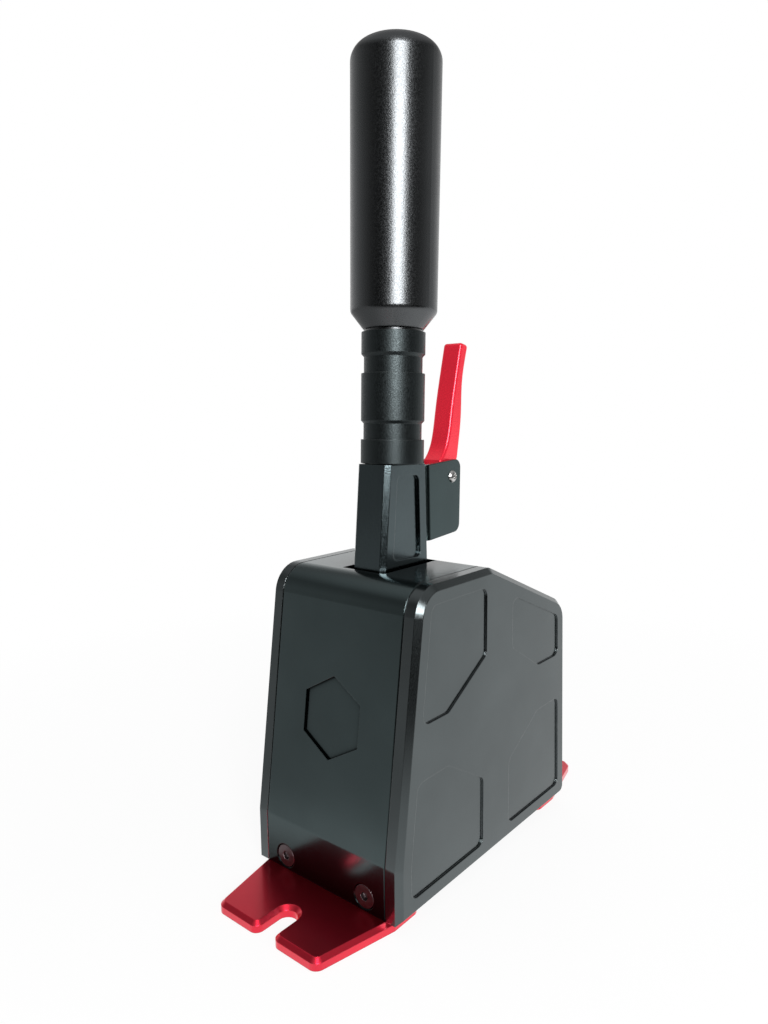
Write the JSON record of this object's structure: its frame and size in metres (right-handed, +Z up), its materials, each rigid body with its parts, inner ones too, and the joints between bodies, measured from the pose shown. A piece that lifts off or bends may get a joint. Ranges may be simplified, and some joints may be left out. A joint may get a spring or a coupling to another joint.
{
  "type": "sequential gear shifter",
  "caption": "Upright lever with a round grip and a finger trigger, rocking fore and aft in a wedge-shaped housing of plates and bent covers on slotted feet",
  "frame": {"origin": "on the bench under the middle of the part, midway between the feet's tips and between the side plates", "axes": "+Z up along the housing; +Y from front to back, the trigger's side of the lever; +X across the housing, to the right when its front is looked at"},
  "size_m": [0.08, 0.198, 0.3422],
  "materials": {
    "black_plate": "satin black anodised, bead blasted",
    "black_sheet": "satin black anodised, bead blasted",
    "red_foot": "satin red anodised",
    "base_sheet": "satin black anodised",
    "raw_aluminium": "milled",
    "black_screws": "black oxide",
    "steel_screws": "zinc plated",
    "bearing_steel": "ground",
    "spring_steel": "drawn wire",
    "stop_rubber": "matt",
    "circuit_board": "solder mask",
    "chip_plastic": "moulded",
    "socket_shell": "plated sheet",
    "black_arm": "satin black anodised",
    "black_turned": "satin black anodised, turned",
    "black_grip": "fine bead blasted, black anodised",
    "black_bracket": "black anodised",
    "stainless": "stainless",
    "magnet": "nickel plated",
    "brass_rod": "turned",
    "red_trigger": "satin red anodised"
  },
  "bodies": {
    "housing": {"right_side_plate": "black_plate", "left_side_plate": "black_plate", "top_cover": "black_sheet", "rear_cover": "black_sheet", "front_foot": "red_foot", "rear_foot": "red_foot", "base_plate": "base_sheet", "front_lower_bar": "raw_aluminium", "rear_lower_bar": "raw_aluminium", "upper_rear_bar": "raw_aluminium", "front_spring_block": "raw_aluminium", "rear_spring_block": "raw_aluminium", "front_cover_screws": "black_screws", "rear_cover_screws": "black_screws", "top_cover_screws": "black_screws", "foot_screws": "steel_screws", "base_screws": "steel_screws", "member_screws": "steel_screws", "pivot_shaft": "steel_screws", "pivot_spacers": "raw_aluminium", "preload_screws": "steel_screws", "fixed_spring_seats": "raw_aluminium", "front_centring_spring": "spring_steel", "rear_centring_spring": "spring_steel", "bump_stops": "stop_rubber", "sensor_board": "circuit_board", "board_standoffs": "steel_screws", "board_screws": "steel_screws", "board_chips": "chip_plastic", "cable_socket": "socket_shell"},
    "lever": {"lever_arm": "black_arm", "pivot_bearings": "bearing_steel", "lever_stud": "steel_screws", "lever_stem": "black_turned", "grip": "black_grip", "trigger_bracket": "black_bracket", "bracket_screws": "steel_screws", "trigger_pivot_screw": "stainless", "trigger_pivot_nut": "stainless", "moving_spring_seats": "raw_aluminium", "magnet_holder": "raw_aluminium", "sensor_magnet": "magnet", "trigger_sensor_board": "circuit_board", "trigger_return_spring": "spring_steel"},
    "trigger": {"trigger": "red_trigger"},
    "rod": {"push_rod": "brass_rod", "rod_magnet": "magnet"}
  },
  "joints": [
    {"name": "lever_rock", "type": "hinge", "parent": "housing", "child": "lever", "pos_m": [0, -0.0225, 0.0919], "axis": [1, 0, 0], "range_deg": [-2.6, 2.6], "stiffness_Nm_per_rad": 80, "deforming": ["front_centring_spring", "rear_centring_spring"]},
    {"name": "trigger_pull", "type": "hinge", "parent": "lever", "child": "trigger", "pos_m": [0, 0.01323, 0.16735], "axis": [1, 0, 0], "range_deg": [0, 12], "stiffness_Nm_per_rad": 1, "springref_deg": -11.46},
    {"name": "rod_push", "type": "slide", "parent": "lever", "child": "rod", "axis": [0, -0.0307, -0.9995], "range_m": [0, 0.00526], "deforming": ["trigger_return_spring"]}
  ],
  "couplings": [
    {"joint": "rod_push", "follows": "trigger_pull", "m_per_rad": 0.0251}
  ]
}
